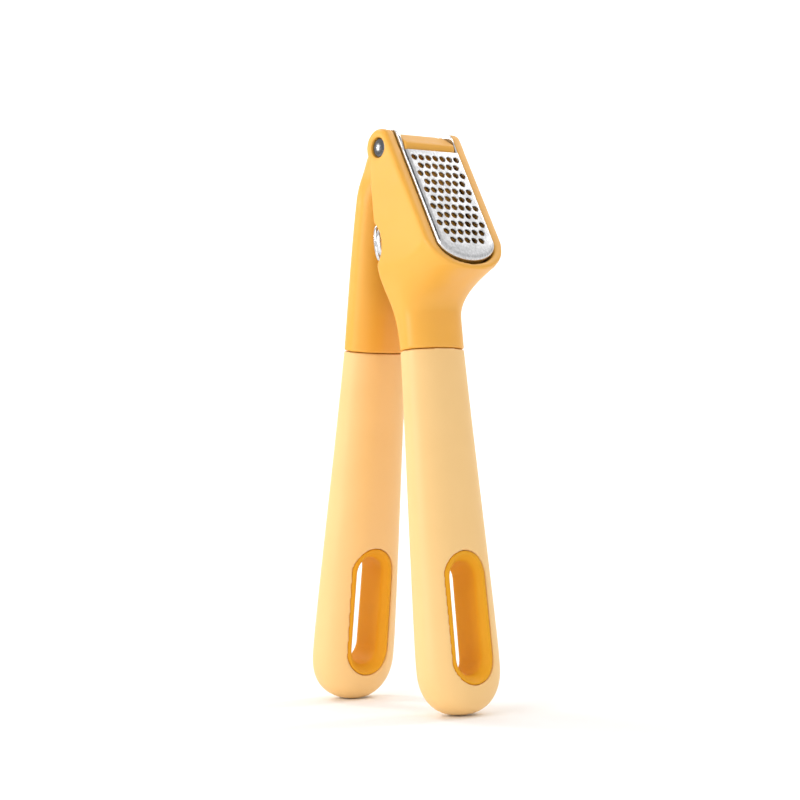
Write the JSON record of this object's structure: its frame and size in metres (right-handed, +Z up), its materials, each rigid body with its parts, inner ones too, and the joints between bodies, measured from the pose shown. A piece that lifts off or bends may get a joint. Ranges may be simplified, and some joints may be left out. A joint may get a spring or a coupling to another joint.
{
  "type": "garlic press",
  "caption": "Hand garlic press: two hinged plastic levers with soft grips, a swing-out perforated steel basket and a pressing foot.",
  "frame": {"origin": "on the floor under the middle of the press as it stands on its two grip ends", "axes": "+X along the hinge pin, -Y to the front where the perforated plate is, +Z up"},
  "size_m": [0.033, 0.0734, 0.1906],
  "materials": {
    "yellow_plastic": "satin warm yellow nylon",
    "pale_grip": "matt pale apricot over-moulding",
    "polished_steel": "satin stainless steel sheet, brighter on the pin"
  },
  "bodies": {
    "basket_lever": {"basket_lever_frame": "yellow_plastic", "basket_lever_grip": "pale_grip", "hinge_pin": "polished_steel", "pin_cap": "polished_steel"},
    "basket": {"basket": "polished_steel"},
    "plunger_lever": {"plunger_lever_frame": "yellow_plastic", "plunger_lever_grip": "pale_grip", "plunger_foot": "yellow_plastic", "plunger_foot_pin": "polished_steel"}
  },
  "joints": [
    {"name": "basket_swing", "type": "hinge", "parent": "basket_lever", "child": "basket", "pos_m": [0, -0.00598, 0.18407], "axis": [1, 0, 0], "range_deg": [0, 60]},
    {"name": "lever_hinge", "type": "hinge", "parent": "basket", "child": "plunger_lever", "pos_m": [0, -0.00598, 0.18407], "axis": [1, 0, 0], "range_deg": [-11.5, 80]}
  ]
}
